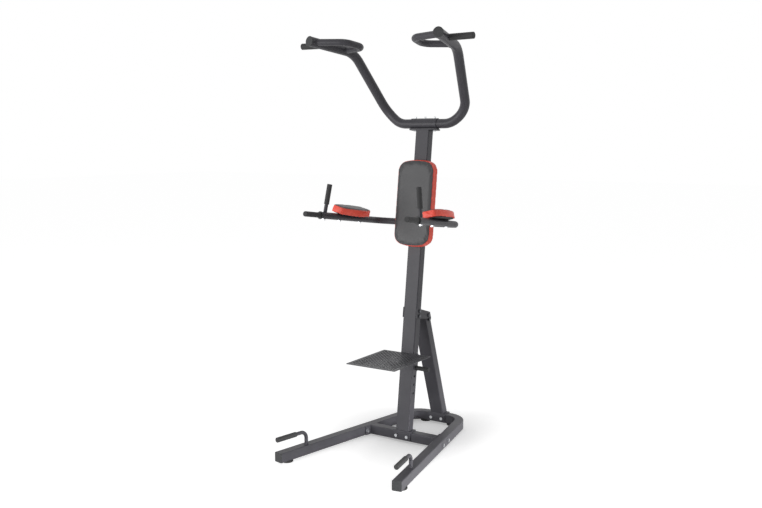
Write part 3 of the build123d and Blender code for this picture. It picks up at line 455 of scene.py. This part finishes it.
def sectors_of(plane_points, judged):
    """Sector of each point seen from the pad's middle, its reach, and the judged points' rim by sector."""
    angle = np.arctan2(plane_points[:, 1], plane_points[:, 0])
    sector = np.clip(((angle / math.pi + 1) / 2 * SECTORS).astype(int), 0, SECTORS - 1)
    reach = np.linalg.norm(plane_points, axis=1)
    rim = np.zeros(SECTORS)
    np.maximum.at(rim, sector[judged], reach[judged])
    return angle, sector, reach, np.where(rim > 0, rim, rim.mean())


def rim_length(plane_points):
    """Millimetres round the rim for points given in the pad's own plane."""
    angle, _, _, rim = sectors_of(plane_points, np.full(len(plane_points), True))
    middles = ((np.arange(SECTORS) + 0.5) / SECTORS * 2 - 1) * math.pi
    corners = np.stack([rim * np.cos(middles), rim * np.sin(middles)], axis=1)
    steps = np.concatenate([[0.0], np.cumsum(np.linalg.norm(np.diff(corners, axis=0), axis=1))])
    return np.interp(angle, middles, steps) / MM


def creased(mesh):
    """The cover's points, pulled in along the seam."""
    points = coordinates(mesh)
    rise = np.empty(len(points), np.float32)
    mesh.attributes["rise_from_seam"].data.foreach_get("value", rise)
    facing = np.empty(len(points) * 3, np.float32)
    mesh.vertices.foreach_get("normal", facing)
    return points - facing.reshape(-1, 3) * (np.exp(-((rise / CREASE_WIDTH) ** 2)) * SEAM_DEPTH)[:, None]


def in_pad_plane(points, normal):
    """Where each point lies in the pad's own plane, from the pad's middle."""
    across = normal.cross(Vector((0, 0, 1)) if abs(normal.z) < 0.9 else Vector((0, 1, 0))).normalized()
    flat = np.stack([points @ np.array(across), points @ np.array(normal.cross(across))], axis=1)
    return flat - (flat.min(0) + flat.max(0)) / 2


def wrap_over_board(points, flat, up, low, wrap, band):
    """Sets the pad down on its board and draws its lower rim over the board's edge."""
    rises = points @ up
    settled = low - rises.min()
    points += up * settled
    above_board = rises + settled - low
    _, sector, reach, rim = sectors_of(flat, above_board < RIM_BAND)
    near_edge = np.clip(1 - (rim[sector] - reach) / band, 0, 1)
    points -= np.outer(np.sqrt(near_edge) * np.clip(1 - above_board / (3 * wrap), 0, 1) * wrap, up)


# %% Cushion builder
DRAWN_IN = 0.6


def swollen_pad(node_name, new_name, towards, voxel, cap, seam_drop):
    """The CAD pad as an even, blown-up mesh that knows its seam, with its normal and its lowest height."""
    piece = copy_of_node(node_name, new_name)
    normal = board_normal(piece.data, Vector(towards))
    up = np.array(normal)
    low = (coordinates(piece.data) @ up).min()
    apply_modifier(piece, "drawn_in", "DISPLACE", strength=-cap * DRAWN_IN, mid_level=0.0)
    apply_modifier(piece, "even_mesh", "REMESH", mode="VOXEL", voxel_size=voxel, use_smooth_shade=True)
    heights = coordinates(piece.data) @ up
    store(piece.data, "rise_from_seam", (heights - heights.max() + seam_drop) / MM)
    inflate(piece, normal, heights.min(), cap)
    apply_modifier(piece, "smooth_cover", "SUBSURF", levels=1, render_levels=1)
    return piece, normal, low


def make_cushion(name, towards, voxel, cap, seam_drop, wrap, band):
    """Turns a plain CAD pad into a sewn cushion that stands in its place."""
    node_name = f"{name}_cushion"
    piece, normal, low = swollen_pad(node_name, f"{name}_pad", towards, voxel, cap, seam_drop)
    points = creased(piece.data)
    flat = in_pad_plane(points, normal)
    wrap_over_board(points, flat, np.array(normal), low, wrap, band)
    piece.data.vertices.foreach_set("co", points.astype(np.float32).ravel())
    store(piece.data, "round_rim", rim_length(flat))
    piece.data.update()
    piece.data.materials.append(vinyl)
    bpy.ops.object.shade_smooth()
    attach(piece, "tower")
    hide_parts(node_name)
    print(piece.name, "faces", len(piece.data.polygons))


# %% Make the three cushions
BACKREST = {"voxel": 5 * MM, "cap": 4 * MM, "seam_drop": 1.8 * MM, "wrap": 8 * MM, "band": 12 * MM}
ARMREST = {"voxel": 4 * MM, "cap": 3 * MM, "seam_drop": 1.0 * MM, "wrap": 5 * MM, "band": 7 * MM}
make_cushion("backrest", towards=(0, -1, 0), **BACKREST)
for side in ("left", "right"):
    make_cushion(f"{side}_armrest", towards=(0, 0, 1), **ARMREST)

# %% [markdown]
# ## Weld beads
# Every branch tube is welded where it meets the tube or plate that carries it, and the coat runs over the
# bead. The bead follows the curve where the two tubes cross. It is drawn here as a welder would trace it:
# a ring of the branch's size is pushed along the branch until it lies on the carrier, turned to a curve,
# and given a round section. The same ring on a flat plate stays flat, so one function serves both.

# %% The tower's own directions
LEAN = math.radians(7.13)
COLUMN_FOOT = Vector((0.0, 114.0, 65.0))
COLUMN_UP = Vector((0.0, math.sin(LEAN), math.cos(LEAN)))
COLUMN_BACK = Vector((0.0, math.cos(LEAN), -math.sin(LEAN)))
print("the column leans back by", round(math.degrees(LEAN), 2), "degrees")


def on_column(across, back, up):
    """A point across, behind and along the column, from millimetres to metres."""
    return (COLUMN_FOOT + Vector((across, 0, 0)) + COLUMN_BACK * back + COLUMN_UP * up) * MM


# %% Bead builder
BEAD = 2.2 * MM
BEAD_OUTWARDS = 0.4
START_ALONG_BRANCH = 60 * MM


def weld_bead(name, carrier, root, branch, radius):
    """A bead round a branch tube, laid onto its carrier where the branch leaves it."""
    bpy.ops.object.select_all(action="DESELECT")
    bpy.ops.mesh.primitive_circle_add(vertices=72, radius=radius + BEAD * BEAD_OUTWARDS, location=(0, 0, 0))
    ring = bpy.context.object
    ring.name = name
    ring.data.name = name
    turn = branch.normalized().to_track_quat("Z", "Y").to_matrix().to_4x4()
    ring.matrix_world = Matrix.Translation(root + branch.normalized() * START_ALONG_BRANCH) @ turn
    apply_modifier(
        ring,
        "lay_on",
        "SHRINKWRAP",
        wrap_method="PROJECT",
        use_project_z=True,
        use_positive_direction=False,
        use_negative_direction=True,
        project_limit=0.0,
        target=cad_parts[carrier],
    )
    bpy.ops.object.transform_apply(location=True, rotation=True, scale=True)
    bpy.ops.object.convert(target="CURVE")
    ring.data.bevel_depth = BEAD
    ring.data.bevel_resolution = 3
    bpy.ops.object.convert(target="MESH")
    bpy.ops.object.shade_smooth()
    ring.data.materials.append(charcoal_coat)
    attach(ring, "tower")
    return ring


# %% [markdown]
# ## Where the welds are
# Each loop has a front and a rear weld on the pull-up bar, and each side handle has one. The dip arms are
# welded to their bolt-on plates, and the push-up handles to the tops of the rails.

# %% Where each branch starts, a point further along it, and its radius, in millimetres
BAR_SEAT = 1645.8
BAR_RISE = 338.0
BAR_RUN = BAR_SEAT + BAR_RISE
GRIP_RISE = 2
ARM_HEIGHT = 1116
ON_COLUMN = [
    ("loop_front_weld", "pull_up_bar", (363.2, -546, BAR_RUN), (194, -504, BAR_RUN), 17),
    ("loop_rear_weld", "pull_up_bar", (320.4, -334, BAR_RUN), (173, -374, BAR_RUN), 17),
    ("side_handle_weld", "pull_up_bar", (347.0, -466, BAR_RUN), (494, -466, BAR_RUN + GRIP_RISE), 12.5),
    ("dip_arm_weld", "{side}_dip_arm", (45, 0, ARM_HEIGHT), (247, 0, ARM_HEIGHT), 17.5),
]
PUSH_UP_FOOT = (312.9, -346.0, 60.0)
PUSH_UP_RADIUS = 9.5
print("welds a side:", len(ON_COLUMN) + 1)

# %% Lay the beads
beads = []
for side, sign in (("left", -1), ("right", 1)):
    for weld, carrier, start, further, radius in ON_COLUMN:
        root = on_column(sign * start[0], start[1], start[2])
        way = on_column(sign * further[0], further[1], further[2]) - root
        beads.append(weld_bead(f"{side}_{weld}", carrier.format(side=side), root, way, radius * MM))
    foot = Vector((sign * PUSH_UP_FOOT[0], PUSH_UP_FOOT[1], PUSH_UP_FOOT[2])) * MM
    upwards = Vector((0, 0, 1))
    beads.append(weld_bead(f"{side}_push_up_weld", "base_frame", foot, upwards, PUSH_UP_RADIUS * MM))
for bead in beads:
    size = [round(v / MM) for v in bead.dimensions]
    print(bead.name, size, "mm, faces", len(bead.data.polygons))

# %% [markdown]
# ## Light, floor and world
# Soft studio light: a large lamp on the camera's left, a low strip on the right that catches the outsides
# of the rails, and a pale world that fills the rest. The floor shows white to the camera and to
# reflections. Part of what it shows is still plain lit paper, so it keeps the soft shadow. Its glow is
# painted by
# place: weaker round the middle under the brace, a painted shade that lets the shadow show, and stronger
# further out, a painted light that washes the shadow away.


# %% Lights
def softbox(name, place, aim, size, power, spread=180):
    """An oblong studio lamp that looks from its place at its aim."""
    lamp_data = bpy.data.lights.new(name, "AREA")
    lamp_data.shape = "RECTANGLE"
    lamp_data.size, lamp_data.size_y = size
    lamp_data.energy = power
    lamp_data.spread = math.radians(spread)
    lamp = bpy.data.objects.new(name, lamp_data)
    bpy.context.scene.collection.objects.link(lamp)
    lamp.location = place
    lamp.rotation_euler = (Vector(aim) - Vector(place)).to_track_quat("-Z", "Y").to_euler()
    print(name, power, "W")


softbox("key_light", (-3.0, -5.5, 1.5), (0, 0, 0.8), (3.4, 2.6), 185.0)
softbox("rail_light", (2.3, -0.5, 0.3), (0.0, -0.1, -0.15), (1.8, 0.3), 7.0, spread=35)


# %% World
def sees_backdrop(tree):
    """1 for rays from the camera, gloss or glass, which see plain white, and 0 for light on the tower."""
    paths = add_node(tree, "ShaderNodeLightPath").outputs
    seen = add_node(
        tree, "ShaderNodeMath", {0: paths["Is Camera Ray"], 1: paths["Is Glossy Ray"]}, operation="ADD"
    )
    seen_through = add_node(
        tree,
        "ShaderNodeMath",
        {0: seen.outputs[0], 1: paths["Is Transmission Ray"]},
        operation="ADD",
        use_clamp=True,
    )
    return seen_through.outputs[0]


WORLD_FILL = 0.42
world = bpy.data.worlds.new("studio_world")
bpy.context.scene.world = world
world.use_nodes = True
tree = world.node_tree
tree.nodes.clear()
fill = add_node(tree, "ShaderNodeBackground", {"Color": linear("#ffffff"), "Strength": WORLD_FILL})
white = add_node(tree, "ShaderNodeBackground", {"Color": linear("#ffffff"), "Strength": 1.0})
sky = add_node(
    tree, "ShaderNodeMixShader", {"Fac": sees_backdrop(tree), 1: fill.outputs[0], 2: white.outputs[0]}
)
add_node(tree, "ShaderNodeOutputWorld", {"Surface": sky.outputs[0]})
print("world fill", WORLD_FILL)

# %% Floor
FLOOR_SIZE = 60.0
SHADOW_MIDDLE = (0.05, 0.3, 0.0)
bpy.ops.object.select_all(action="DESELECT")
bpy.ops.mesh.primitive_plane_add(size=FLOOR_SIZE, location=(0, 0, 0))
floor = bpy.context.object
floor.name = "studio_floor"
paper = bpy.data.materials.new("white_paper_floor")
paper.use_nodes = True
tree = paper.node_tree
tree.nodes.clear()
lit = add_node(tree, "ShaderNodeBsdfDiffuse", {"Color": linear("#f2f2f2")})
place = add_node(tree, "ShaderNodeTexCoord").outputs["Object"]
from_shadow = add_node(
    tree, "ShaderNodeVectorMath", {0: place, 1: SHADOW_MIDDLE}, operation="DISTANCE"
).outputs["Value"]
# painted shade and light: the floor's glow is weaker near the shadow's middle and stronger further out
painted_glow_strength = add_node(
    tree,
    "ShaderNodeMapRange",
    {"Value": from_shadow, "From Min": 0.2, "From Max": 0.62, "To Min": 0.3, "To Max": 0.62},
)
glow = add_node(tree, "ShaderNodeEmission", {"Color": linear("#ffffff"), "Strength": painted_glow_strength.outputs["Result"]})
both = add_node(tree, "ShaderNodeAddShader", {0: lit.outputs[0], 1: glow.outputs[0]})
shown = add_node(
    tree, "ShaderNodeMixShader", {"Fac": sees_backdrop(tree), 1: lit.outputs[0], 2: both.outputs[0]}
)
add_node(tree, "ShaderNodeOutputMaterial", {"Surface": shown.outputs[0]})
floor.data.materials.append(paper)
print(floor.name, FLOOR_SIZE, "m wide")
